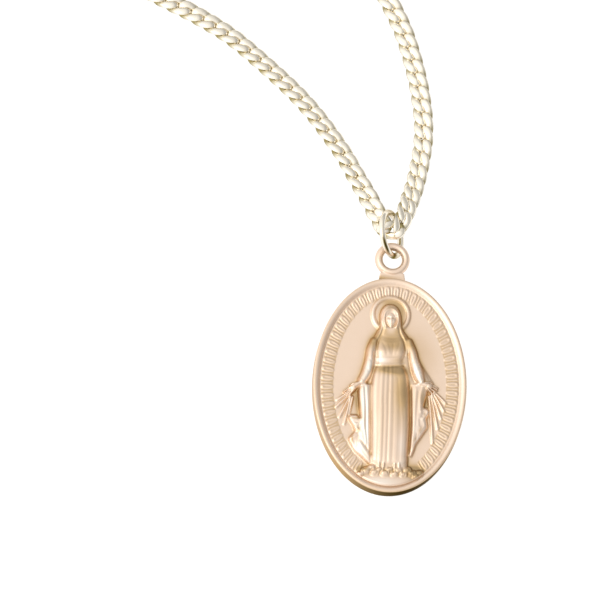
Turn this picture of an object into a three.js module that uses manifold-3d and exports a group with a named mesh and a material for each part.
// An oval devotional medal on a fine curb chain, lying flat with the closed chain laid out behind it.
// Millimetres, +Z up. The medal is one struck piece with its hanging loop soldered to the rim, a jump
// ring joins the loop to the chain, and a spring ring clasp closes the chain at its far end.

import * as THREE from "three";
import { mergeVertices } from "three/addons/utils/BufferGeometryUtils.js";
import Module from "manifold-3d";

const wasm = await Module();
wasm.setup();

// Driving dimensions of the medal
const medalWidth = 15.44;
const medalHeight = 22.5;
const medalThickness = 1.6; // at the rim
const rimWidth = 0.42; // raised border round the face
const rimRise = 0.3; // rim above the field
const edgeBevel = 0.12; // broken corners of the rim and of the back
const channelWidth = 0.25; // smooth groove between the rim and the ornament
const bandWidth = 1.25; // ring of petals round the field
const petalCount = 56;
const petalRise = 0.22;
const reliefHeight = 1.0; // deepest part of the figure above the field
const haloRadius = 2.02;
const haloWidth = 0.5;
const haloRise = 0.3;

// The medal's hanging loop
const loopRadius = 1.36; // to the middle of the wire
const loopWire = 0.74; // width of the loop's section
const loopDepth = 0.9; // thickness of the loop's section
const loopStandoff = 0.47; // loop's outside clear of the rim, bridged by the flared foot
const footWidth = 2.9; // flared foot where it meets the rim

// Jump ring through the loop
const jumpRadius = 2.21;
const jumpWire = 0.62;
const jumpTurn = 1.2; // degrees that the ring's axis points away from +X
const jumpLean = 59.5; // degrees between the ring's plane and the floor
const ringSlack = 0.28; // play between the ring's wire and the loop, along the chain's pull
const wireClearance = 0.1; // air kept between wires that pass through each other

// Curb chain
const chainLength = 457; // closed length, clasp included
const chainWidth = 1.65;
const chainThickness = 0.95;
const chainWire = 0.5; // wire of its links

// Clasp and its end ring
const claspRadius = 2.2;
const claspTube = 1.0;
const eyeletRadius = 0.8;
const eyeletWire = 0.5;
const solderLap = 0.14; // how far the eyelet's wire sinks into the clasp's tube
const leverLength = 0.9;
const leverWidth = 0.42;
const endRingRadius = 2.1;
const endRingWire = 0.6;
const endRingLean = 48; // degrees between the end ring's plane and the floor
const claspSlack = 0.5; // play between the end ring's wire and the clasp's tube
const chainEndGap = 0.3; // chain's end clear of the ring or eyelet that holds it
const chainEndRun = 8; // last stretch of chain, which rises to the clasp or the end ring
const endRingHold = 40; // degrees below the end ring's side where the chain's last link holds it

// Facets
const petalSectors = 2;
const fieldRings = 17;
const loopSides = 10;
const ringSteps = 30;
const ringSides = 8;
const arcSteps = 28;

// Worked out from the sizes above
const halfWidth = medalWidth / 2;
const halfHeight = medalHeight / 2;
const fieldLevel = medalThickness - rimRise;
const bandInset = rimWidth + edgeBevel + channelWidth;
const fieldInset = bandInset + bandWidth;
const jumpHalf = jumpWire / 2;
const loopHole = loopRadius - loopWire / 2;
const loopCentreY = halfHeight + loopStandoff + loopRadius + loopWire / 2;
const degree = Math.PI / 180;
const goldSatin = new THREE.MeshStandardMaterial({ color: 0xe6cfb0, metalness: 1, roughness: 0.4 });
const goldBright = new THREE.MeshStandardMaterial({ color: 0xeadfb8, metalness: 1, roughness: 0.18 });
const goldChain = new THREE.MeshStandardMaterial({ color: 0xe9dfc2, metalness: 1, roughness: 0.25 });

// The relief is drawn in hundredths: x of the half width, y of the half height, rise of the relief.
const share = 1 / 100;
const across = halfWidth * share;
const along = halfHeight * share;
const deep = reliefHeight * share;

const veilRows = [
  { y: 76, left: -5, right: 2, rise: 50 },
  { y: 72, left: -11, right: 8, rise: 78 },
  { y: 65, left: -16, right: 13, rise: 88 },
  { y: 57, left: -17, right: 14, rise: 80 },
  { y: 50, left: -19, right: 17, rise: 62 },
  { y: 43, left: -24, right: 24, rise: 60 },
];
const torsoRows = [
  { y: 49, left: -15, right: 13, rise: 45 },
  { y: 45, left: -22, right: 22, rise: 62 },
  { y: 36, left: -27, right: 28, rise: 74 },
  { y: 26, left: -32, right: 36, rise: 74 },
  { y: 17, left: -37, right: 42, rise: 68 },
  { y: 8, left: -41, right: 49, rise: 58 },
  { y: 1, left: -46, right: 54, rise: 45 },
];
const tunicRows = [
  { y: 18, left: -19, right: 17, rise: 74 },
  { y: 9, left: -23, right: 22, rise: 84 },
  { y: -4, left: -26, right: 26, rise: 90 },
  { y: -27, left: -26, right: 28, rise: 94 },
  { y: -44, left: -25, right: 28, rise: 92 },
  { y: -65, left: -23, right: 26, rise: 84 },
  { y: -74, left: -23, right: 26, rise: 72 },
];
const leftMantleRows = [
  { y: 2, left: -49, right: -22, rise: 50 },
  { y: -11, left: -42, right: -22, rise: 52 },
  { y: -30, left: -44, right: -22, rise: 56 },
  { y: -37, left: -53, right: -22, rise: 56 },
  { y: -44, left: -45, right: -21, rise: 54 },
  { y: -52, left: -52, right: -21, rise: 50 },
  { y: -59, left: -48, right: -20, rise: 46 },
  { y: -66, left: -38, right: -20, rise: 42 },
  { y: -75, left: -24, right: -20, rise: 36 },
];
const rightMantleRows = [
  { y: 2, left: 22, right: 54, rise: 50 },
  { y: -11, left: 22, right: 46, rise: 54 },
  { y: -23, left: 22, right: 51, rise: 54 },
  { y: -30, left: 22, right: 47, rise: 52 },
  { y: -38, left: 22, right: 50, rise: 50 },
  { y: -46, left: 22, right: 43, rise: 48 },
  { y: -54, left: 22, right: 36, rise: 44 },
  { y: -63, left: 22, right: 32, rise: 40 },
  { y: -71, left: 22, right: 27, rise: 34 },
];

// Rounded strokes: sleeves, hands, belt, rays and folds run between two points.
const reliefStrokes = [
  { x1: -25, y1: 38, x2: -30, y2: 16, half: 9, rise: 86 },
  { x1: -30, y1: 16, x2: -41, y2: 1, half: 9, rise: 82 },
  { x1: 26, y1: 39, x2: 33, y2: 18, half: 9, rise: 86 },
  { x1: 33, y1: 18, x2: 42, y2: 3, half: 9, rise: 82 },
  { x1: -42, y1: 0, x2: -58, y2: -8, half: 4, rise: 66 },
  { x1: 43, y1: 2, x2: 61, y2: -1, half: 4, rise: 66 },
  { x1: -18, y1: 20, x2: 16, y2: 22, half: 4, rise: 84 },
  { x1: -52, y1: -6, x2: -67, y2: -17, half: 2.6, rise: 24 },
  { x1: -51, y1: -8, x2: -65, y2: -32, half: 2.6, rise: 24 },
  { x1: -49, y1: -9, x2: -56, y2: -39, half: 2.6, rise: 22 },
  { x1: 55, y1: -2, x2: 71, y2: -14, half: 2.6, rise: 24 },
  { x1: 54, y1: -4, x2: 66, y2: -31, half: 2.6, rise: 24 },
  { x1: 53, y1: -5, x2: 57, y2: -50, half: 2.6, rise: 22 },
  { x1: -17, y1: 8, x2: -17, y2: -70, half: 3.4, rise: 100 },
  { x1: -7, y1: 10, x2: -5, y2: -72, half: 3.2, rise: 104 },
  { x1: 5, y1: 8, x2: 6, y2: -72, half: 3.4, rise: 104 },
  { x1: 17, y1: 4, x2: 18, y2: -70, half: 4, rise: 100 },
  { x1: -33, y1: -12, x2: -28, y2: -62, half: 4, rise: 70 },
  { x1: 33, y1: -10, x2: 30, y2: -56, half: 3.6, rise: 66 },
];

// Rounded knobs: the face and the toes.
const reliefKnobs = [
  { x: -1, y: 60.5, wide: 8, tall: 8, rise: 102 },
  { x: -6, y: -76, wide: 5, tall: 2.4, rise: 60 },
  { x: 7, y: -76, wide: 5, tall: 2.4, rise: 60 },
];
const haloCentre = { x: -1, y: 66 };
const globe = { x: 3, y: -107, wide: 58, tall: 29, rise: 46 };
const globeHalfAngle = 26 * degree; // bottom stretch of the band that the globe takes up

function loftRise(rows, x, y) {
  for (let i = 1; i < rows.length; i++) {
    const upper = rows[i - 1];
    const lower = rows[i];
    if (y > upper.y * along || y < lower.y * along) continue;
    const t = (upper.y * along - y) / ((upper.y - lower.y) * along);
    const left = THREE.MathUtils.lerp(upper.left, lower.left, t) * across;
    const right = THREE.MathUtils.lerp(upper.right, lower.right, t) * across;
    const rise = THREE.MathUtils.lerp(upper.rise, lower.rise, t) * deep;
    const off = Math.abs((2 * x - left - right) / (right - left));
    return off < 1 ? rise * Math.sqrt(1 - off ** 4) : 0;
  }
  return 0;
}

function strokeRise(stroke, x, y) {
  const start = new THREE.Vector2(stroke.x1 * across, stroke.y1 * along);
  const span = new THREE.Vector2(stroke.x2 * across, stroke.y2 * along).sub(start);
  const reach = new THREE.Vector2(x, y).sub(start);
  const t = THREE.MathUtils.clamp(reach.dot(span) / span.lengthSq(), 0, 1);
  const off = reach.sub(span.multiplyScalar(t)).length() / (stroke.half * across);
  return off < 1 ? stroke.rise * deep * Math.sqrt(1 - off ** 2) : 0;
}

function knobRise(knob, x, y) {
  const dx = (x - knob.x * across) / (knob.wide * across);
  const dy = (y - knob.y * along) / (knob.tall * along);
  return knob.rise * deep * Math.sqrt(Math.max(0, 1 - dx * dx - dy * dy));
}

function haloHeight(x, y) {
  const off = Math.hypot(x - haloCentre.x * across, y - haloCentre.y * along);
  if (off > haloRadius) return 0;
  return off > haloRadius - haloWidth ? haloRise : haloRise / 3;
}

// Height of the struck figure above the field at a point of the face
function figureRise(x, y) {
  const lofts = [veilRows, torsoRows, tunicRows, leftMantleRows, rightMantleRows];
  return Math.max(
    haloHeight(x, y),
    knobRise(globe, x, y),
    ...lofts.map((rows) => loftRise(rows, x, y)),
    ...reliefStrokes.map((stroke) => strokeRise(stroke, x, y)),
    ...reliefKnobs.map((knob) => knobRise(knob, x, y)),
  );
}

// Angles that cut an oval into stretches of even length, starting at the bottom
function evenOvalAngles(a, b, count) {
  const fine = 7200;
  const angles = [];
  let run = 0;
  const lengths = [0];
  for (let i = 1; i <= fine; i++) {
    const mid = ((i - 0.5) / fine) * 2 * Math.PI - Math.PI / 2;
    run += Math.hypot(a * Math.sin(mid), b * Math.cos(mid)) * ((2 * Math.PI) / fine);
    lengths.push(run);
  }
  let at = 0;
  for (let i = 0; i < count; i++) {
    while (lengths[at] < (i / count) * run) at++;
    angles.push((at / fine) * 2 * Math.PI - Math.PI / 2);
  }
  return angles;
}

// Stacked oval rings of one skin, from the middle of the face over the rim to the middle of the back
function medalRings() {
  const petalEnds = [
    { way: 0, rise: 0 },
    { way: 0.22, rise: 1 },
    { way: 0.5, rise: 1 },
    { way: 0.8, rise: 0.75 },
    { way: 1, rise: 0 },
  ];
  const rings = [];
  for (let i = 1; i <= fieldRings; i++) rings.push({ scale: i / fieldRings, inset: fieldInset, petal: 0 });
  for (const end of [...petalEnds].reverse().slice(1)) {
    rings.push({ scale: 1, inset: bandInset + end.way * bandWidth, petal: end.rise });
  }
  return rings;
}

function medalPlate() {
  const bandMiddle = bandInset + bandWidth / 2;
  const count = petalCount * petalSectors;
  const angles = evenOvalAngles(halfWidth - bandMiddle, halfHeight - bandMiddle, count);
  const positions = [0, 0, fieldLevel + figureRise(0, 0)];
  const addRing = (inset, scale, level) => {
    angles.forEach((angle, i) => {
      const x = (halfWidth - inset) * scale * Math.cos(angle);
      const y = (halfHeight - inset) * scale * Math.sin(angle);
      positions.push(x, y, level(x, y, i, angle));
    });
  };
  const rings = medalRings();
  for (const ring of rings) {
    addRing(ring.inset, ring.scale, (x, y, i, angle) => {
      const fromBottom = Math.abs(angle + Math.PI / 2);
      const inGlobe = Math.min(fromBottom, 2 * Math.PI - fromBottom) < globeHalfAngle;
      const petal = i % petalSectors === 0 || inGlobe ? 0 : petalRise * ring.petal;
      return fieldLevel + Math.max(petal, figureRise(x, y));
    });
  }
  addRing(rimWidth + edgeBevel, 1, () => medalThickness);
  addRing(edgeBevel, 1, () => medalThickness);
  addRing(0, 1, () => medalThickness - edgeBevel);
  addRing(0, 1, () => edgeBevel);
  addRing(edgeBevel, 1, () => 0);
  const ringCount = rings.length + 5;
  const back = positions.length / 3;
  positions.push(0, 0, 0);

  const faces = [];
  const at = (ring, i) => 1 + ring * count + (i % count);
  for (let i = 0; i < count; i++) {
    faces.push(0, at(0, i), at(0, i + 1));
    for (let ring = 1; ring < ringCount; ring++) {
      faces.push(at(ring - 1, i), at(ring, i), at(ring, i + 1));
      faces.push(at(ring - 1, i), at(ring, i + 1), at(ring - 1, i + 1));
    }
    faces.push(back, at(ringCount - 1, i + 1), at(ringCount - 1, i));
  }
  const plate = new THREE.BufferGeometry();
  plate.setAttribute("position", new THREE.Float32BufferAttribute(positions, 3));
  plate.setIndex(faces);
  return plate;
}

function toSolid(geometry) {
  geometry.deleteAttribute("normal");
  geometry.deleteAttribute("uv");
  const merged = mergeVertices(geometry, 1e-5);
  return new wasm.Manifold(
    new wasm.Mesh({
      numProp: 3,
      vertProperties: Float32Array.from(merged.attributes.position.array),
      triVerts: Uint32Array.from(merged.index.array),
    }),
  );
}

function toGeometry(solid) {
  const mesh = solid.getMesh();
  const geometry = new THREE.BufferGeometry();
  geometry.setAttribute("position", new THREE.BufferAttribute(mesh.vertProperties, 3));
  geometry.setIndex(new THREE.BufferAttribute(mesh.triVerts, 1));
  geometry.computeVertexNormals();
  return geometry;
}

// Foot of the loop: wide at the rim, drawn in to the loop's wire
function loopFoot() {
  const waist = loopRadius * 0.78;
  const top = loopCentreY - loopRadius * 0.72;
  const low = halfHeight - (rimWidth + edgeBevel) / 2;
  const sink = loopCentreY - loopRadius;
  const outline = new THREE.Shape();
  outline.moveTo(-footWidth / 2, low);
  outline.lineTo(footWidth / 2, low);
  outline.quadraticCurveTo(waist, halfHeight + edgeBevel, waist, top);
  outline.lineTo(0, sink);
  outline.lineTo(-waist, top);
  outline.quadraticCurveTo(-waist, halfHeight + edgeBevel, -footWidth / 2, low);
  const foot = new THREE.ExtrudeGeometry(outline, { depth: loopDepth, bevelEnabled: false, curveSegments: 5 });
  return foot.translate(0, 0, (medalThickness - loopDepth) / 2);
}

function hangingLoop() {
  const loop = new THREE.TorusGeometry(loopRadius, loopWire / 2, loopSides, ringSteps);
  return loop.scale(1, 1, loopDepth / loopWire).translate(0, loopCentreY, medalThickness / 2);
}

// Points round a ring's wire, for measuring how near two rings come
function ringPoints(centre, matrix, radius) {
  const steps = 120;
  return Array.from({ length: steps }, (_, i) => {
    const angle = (i / steps) * 2 * Math.PI;
    const rim = new THREE.Vector3(radius * Math.cos(angle), radius * Math.sin(angle), 0);
    return rim.applyMatrix4(matrix).add(centre);
  });
}

function nearest(pointsA, pointsB) {
  let least = Infinity;
  for (const a of pointsA) for (const b of pointsB) least = Math.min(least, a.distanceToSquared(b));
  return Math.sqrt(least);
}

// Smallest tilt, in radians, at which a lying piece's ring clears the ring threaded through it
function restingTilt(gapAtTilt, wanted) {
  const most = 12 * degree;
  const step = 0.1 * degree;
  let best = { tilt: 0, gap: -Infinity };
  for (let tilt = 0; tilt <= most; tilt += step) {
    const gap = gapAtTilt(tilt);
    if (gap >= wanted) return tilt;
    if (gap > best.gap) best = { tilt, gap };
  }
  return best.tilt;
}

// Places a piece that lies on its back, tipped up about a foot line at y = footY on the floor
function tipped(tilt, footY) {
  return new THREE.Matrix4()
    .makeTranslation(0, footY, 0)
    .multiply(new THREE.Matrix4().makeRotationX(tilt))
    .multiply(new THREE.Matrix4().makeTranslation(0, -footY, 0));
}

// Jump ring: leans over with its lowest wire on the floor, pulled along the chain
const jumpTurned = new THREE.Matrix4()
  .makeRotationZ(jumpTurn * degree)
  .multiply(new THREE.Matrix4().makeRotationY(jumpLean * degree));
const medalFootY = -(halfHeight - edgeBevel);

function jumpCentre(tilt) {
  const loop = new THREE.Vector3(0, loopCentreY, medalThickness / 2).applyMatrix4(tipped(tilt, medalFootY));
  const pull = jumpRadius + loopHole - jumpHalf - ringSlack;
  const aside = -jumpRadius * 0.085;
  return new THREE.Vector3(aside, loop.y + pull, jumpHalf + jumpRadius * Math.sin(jumpLean * degree));
}

function loopGap(tilt) {
  const tip = tipped(tilt, medalFootY);
  const loopMiddle = new THREE.Vector3(0, loopCentreY, medalThickness / 2).applyMatrix4(tip);
  const turned = new THREE.Matrix4().extractRotation(tip);
  const loop = ringPoints(loopMiddle, turned, loopRadius);
  return nearest(loop, ringPoints(jumpCentre(tilt), jumpTurned, jumpRadius));
}

const loopHalf = Math.max(loopWire, loopDepth) / 2;
const medalTilt = restingTilt(loopGap, loopHalf + jumpHalf + wireClearance);

function medalMesh() {
  const solid = toSolid(medalPlate()).add(toSolid(loopFoot())).add(toSolid(hangingLoop()));
  const mesh = new THREE.Mesh(toGeometry(solid), goldSatin);
  mesh.name = "medal";
  mesh.applyMatrix4(tipped(medalTilt, medalFootY));
  return mesh;
}

function jumpRingMesh() {
  const ring = new THREE.TorusGeometry(jumpRadius, jumpHalf, ringSides, ringSteps);
  const mesh = new THREE.Mesh(ring, goldBright);
  mesh.name = "jump_ring";
  mesh.applyMatrix4(jumpTurned);
  mesh.position.copy(jumpCentre(medalTilt));
  return mesh;
}

// Chain's chosen route through the jump ring, left strand to right strand, from the ring's middle.
// lift is the height of the chain above lying flat, roll is its turn about its own line in degrees.
const chainRoute = [
  { x: -22.7, y: 24.5, lift: 0, roll: 0 },
  { x: -19.7, y: 23.0, lift: 0, roll: 0 },
  { x: -16.4, y: 21.0, lift: 0, roll: 0 },
  { x: -13.2, y: 18.4, lift: 0, roll: 0 },
  { x: -9.9, y: 15.4, lift: 0, roll: 0 },
  { x: -7.4, y: 12.6, lift: 0, roll: 0 },
  { x: -4.9, y: 9.1, lift: 0.02, roll: 0 },
  { x: -3.9, y: 7.3, lift: 0.14, roll: 0 },
  { x: -3.0, y: 5.6, lift: 0.42, roll: 5 },
  { x: -2.2, y: 4.0, lift: 0.82, roll: 10 },
  { x: -1.5, y: 2.4, lift: 1.22, roll: 24 },
  { x: -0.8, y: 1.0, lift: 1.53, roll: 35 },
  { x: -0.1, y: 0.5, lift: 1.64, roll: 38 },
  { x: 0.7, y: 0.9, lift: 1.58, roll: 46 },
  { x: 1.3, y: 2.2, lift: 1.42, roll: 52 },
  { x: 1.8, y: 3.8, lift: 1.12, roll: 52 },
  { x: 2.3, y: 5.5, lift: 0.74, roll: 48 },
  { x: 2.7, y: 7.3, lift: 0.42, roll: 32 },
  { x: 3.0, y: 9.1, lift: 0.24, roll: 14 },
  { x: 3.2, y: 10.9, lift: 0.04, roll: 0 },
  { x: 3.1, y: 13.9, lift: 0, roll: 0 },
  { x: 2.4, y: 17.9, lift: 0, roll: 0 },
  { x: 1.1, y: 22.3, lift: 0, roll: 0 },
  { x: -0.4, y: 25.6, lift: 0, roll: 0 },
  { x: -1.3, y: 27.2, lift: 0, roll: 0 },
];

function stationOf(row) {
  const ring = jumpCentre(medalTilt);
  const point = new THREE.Vector3(ring.x + row.x, ring.y + row.y, chainThickness / 2 + row.lift);
  return { point, roll: row.roll * degree };
}

// The route's chosen points with one more between each pair, on a uniform Catmull-Rom curve
function nearStations() {
  const rows = chainRoute.map(stationOf);
  const pick = (i) => rows[Math.min(Math.max(i, 0), rows.length - 1)];
  const stations = [];
  rows.forEach((row, i) => {
    stations.push(row);
    if (i === rows.length - 1) return;
    const [before, next, after] = [pick(i - 1), pick(i + 1), pick(i + 2)];
    const blend = (a, b, c, d) => (9 * (b + c) - a - d) / 16;
    const axis = (name) => blend(before.point[name], row.point[name], next.point[name], after.point[name]);
    stations.push({
      point: new THREE.Vector3(axis("x"), axis("y"), axis("z")),
      roll: blend(before.roll, row.roll, next.roll, after.roll),
    });
  });
  return stations;
}

function runLength(stations) {
  let run = 0;
  for (let i = 1; i < stations.length; i++) run += stations[i].point.distanceTo(stations[i - 1].point);
  return run;
}

// Hidden stretch: two straight sides that carry on from the route, closed by one round bend.
// The bend's size follows from the chain's whole length.
function farBend(near) {
  const [first, second] = [near[0].point, near[1].point];
  const [last, beforeLast] = [near.at(-1).point, near.at(-2).point];
  const leftWay = first.clone().sub(second).setZ(0).normalize();
  const rightWay = last.clone().sub(beforeLast).setZ(0).normalize();
  const cross = leftWay.x * rightWay.y - leftWay.y * rightWay.x;
  const between = first.clone().sub(last);
  const rightBack = (between.y * leftWay.x - between.x * leftWay.y) / cross;
  const apex = last.clone().addScaledVector(rightWay, rightBack);
  const half = Math.acos(leftWay.dot(rightWay)) / 2;
  const hidden = chainLength - runLength(near);
  const given = first.distanceTo(apex) + last.distanceTo(apex);
  const reach = (hidden + given) / (2 * Math.cos(half) + Math.sin(half) * (Math.PI + 2 * half));
  const axis = leftWay.clone().add(rightWay).normalize();
  return {
    radius: reach * Math.sin(half),
    centre: apex.clone().addScaledVector(axis, reach),
    heading: Math.atan2(axis.y, axis.x),
    sweep: Math.PI / 2 + half,
  };
}

const near = nearStations();
const bend = farBend(near);

function bendPoint(angle) {
  const turn = bend.heading + angle;
  const out = new THREE.Vector3(Math.cos(turn), Math.sin(turn), 0).multiplyScalar(bend.radius);
  return out.add(bend.centre).setZ(chainThickness / 2);
}

// Clasp frame: origin on the floor at the far end of the bend, +X towards the end ring's side
const claspFrame = new THREE.Matrix4()
  .makeTranslation(bendPoint(0).x, bendPoint(0).y, 0)
  .multiply(new THREE.Matrix4().makeRotationZ(bend.heading - Math.PI / 2));
const claspHalf = claspTube / 2;
const endHalf = endRingWire / 2;
const eyeletHalf = eyeletWire / 2;
const eyeletX = -(claspRadius + claspHalf + eyeletRadius + eyeletHalf - solderLap);
const endRingTurned = new THREE.Matrix4().makeRotationX(endRingLean * degree);
const endRingCentre = new THREE.Vector3(
  claspRadius - claspHalf - endHalf - claspSlack + endRingRadius,
  0,
  endHalf + endRingRadius * Math.sin(endRingLean * degree),
);

// The clasp lies on its own edge or, by its eyelet, on the wire of the chain's first link, and is
// tipped up where the end ring passes under it.
function claspTip(tilt) {
  const onEdge = claspHalf + claspRadius * Math.sin(tilt);
  const onEyelet = chainWire + eyeletHalf + (eyeletRadius - eyeletX) * Math.sin(tilt);
  return new THREE.Matrix4()
    .makeTranslation(0, 0, Math.max(onEdge, onEyelet))
    .multiply(new THREE.Matrix4().makeRotationY(-tilt));
}

function claspGap(tilt) {
  const tip = claspTip(tilt);
  const middle = new THREE.Vector3().setFromMatrixPosition(tip);
  const clasp = ringPoints(middle, new THREE.Matrix4().extractRotation(tip), claspRadius);
  return nearest(clasp, ringPoints(endRingCentre, endRingTurned, endRingRadius));
}

const claspTilt = restingTilt(claspGap, claspHalf + endHalf + wireClearance);

function claspMesh() {
  const hoop = new THREE.TorusGeometry(claspRadius, claspHalf, ringSides, ringSteps);
  const eyelet = new THREE.TorusGeometry(eyeletRadius, eyeletHalf, ringSides, ringSteps * 0.6);
  const lever = new THREE.BoxGeometry(leverWidth, leverLength, leverWidth);
  eyelet.translate(eyeletX, 0, 0);
  lever.translate(0, claspRadius + claspHalf, 0);
  const solid = toSolid(hoop).add(toSolid(eyelet)).add(toSolid(lever));
  const mesh = new THREE.Mesh(toGeometry(solid), goldBright);
  mesh.name = "clasp";
  mesh.applyMatrix4(new THREE.Matrix4().multiplyMatrices(claspFrame, claspTip(claspTilt)));
  return mesh;
}

function endRingMesh() {
  const mesh = new THREE.Mesh(new THREE.TorusGeometry(endRingRadius, endHalf, ringSides, ringSteps), goldBright);
  mesh.name = "chain_end_ring";
  mesh.applyMatrix4(endRingTurned);
  mesh.position.copy(endRingCentre);
  mesh.applyMatrix4(claspFrame);
  return mesh;
}

// Where the chain's two ends stop, in the clasp frame: by the eyelet and by the end ring's lower side
function chainEnds() {
  const eyelet = new THREE.Vector3(eyeletX - eyeletRadius, 0, 0).applyMatrix4(claspTip(claspTilt));
  eyelet.x -= eyeletHalf + chainEndGap;
  const hold = -endRingHold * degree;
  const ring = new THREE.Vector3(endRingRadius * Math.cos(hold), endRingRadius * Math.sin(hold), 0);
  ring.applyMatrix4(endRingTurned).add(endRingCentre);
  ring.x += endHalf + chainEndGap;
  return { eyelet, ring };
}

// Stations of the whole tube: bend, left side, past the medal, right side, bend
function chainStations() {
  const ends = chainEnds();
  const startAngle = Math.asin((chainEndRun - ends.eyelet.x) / bend.radius);
  const endAngle = Math.asin((chainEndRun + ends.ring.x) / bend.radius);
  const bendRun = (from, to) =>
    Array.from({ length: arcSteps / 2 + 1 }, (_, i) => {
      const angle = THREE.MathUtils.lerp(from, to, (2 * i) / arcSteps);
      return { point: bendPoint(angle), roll: 0 };
    });
  const endStation = (point) => ({ point: point.clone().applyMatrix4(claspFrame), roll: 0 });
  const toLeft = bendRun(startAngle, bend.sweep);
  const toRight = bendRun(-bend.sweep, -endAngle);
  return [endStation(ends.eyelet), ...toLeft, ...near, ...toRight, endStation(ends.ring)];
}

// A path given by its stations, whose cross-section stays level and then takes each station's roll
class LaidPath extends THREE.Curve {
  constructor(stations) {
    super();
    this.stations = stations;
  }

  getPoint(t) {
    const place = t * (this.stations.length - 1);
    const i = Math.min(Math.floor(place), this.stations.length - 2);
    return this.stations[i].point.clone().lerp(this.stations[i + 1].point, place - i);
  }

  getSpacedPoints() {
    return this.stations.map((station) => station.point.clone());
  }

  computeFrenetFrames() {
    const tangents = [];
    const normals = [];
    const binormals = [];
    const up = new THREE.Vector3(0, 0, 1);
    this.stations.forEach((station, i) => {
      const ahead = this.stations[Math.min(i + 1, this.stations.length - 1)].point;
      const behind = this.stations[Math.max(i - 1, 0)].point;
      const tangent = ahead.clone().sub(behind).normalize();
      const side = up.clone().cross(tangent).normalize();
      const normal = side.applyAxisAngle(tangent, station.roll);
      tangents.push(tangent);
      normals.push(normal);
      binormals.push(tangent.clone().cross(normal));
    });
    return { tangents, normals, binormals };
  }
}

// Flattened eight-sided section of the curb chain
function chainSection() {
  const sides = 8;
  const flat = Math.cos(Math.PI / sides);
  const corners = Array.from({ length: sides }, (_, i) => {
    const angle = ((i + 0.5) / sides) * 2 * Math.PI;
    const x = (chainWidth / 2 / flat) * Math.cos(angle);
    const y = (chainThickness / 2 / flat) * Math.sin(angle);
    return new THREE.Vector2(x, y);
  });
  return new THREE.Shape(corners);
}

function chainMesh() {
  const stations = chainStations();
  const geometry = new THREE.ExtrudeGeometry(chainSection(), {
    steps: stations.length - 1,
    extrudePath: new LaidPath(stations),
  });
  const mesh = new THREE.Mesh(geometry, goldChain);
  mesh.name = "chain";
  return mesh;
}

// The whole, with its origin on the floor under the middle of its box
const pendant = new THREE.Group();
pendant.add(medalMesh(), jumpRingMesh(), chainMesh(), claspMesh(), endRingMesh());
const box = new THREE.Box3().setFromObject(pendant, true);
const centre = box.getCenter(new THREE.Vector3());
pendant.position.set(-centre.x, -centre.y, -box.min.z);

export default pendant;
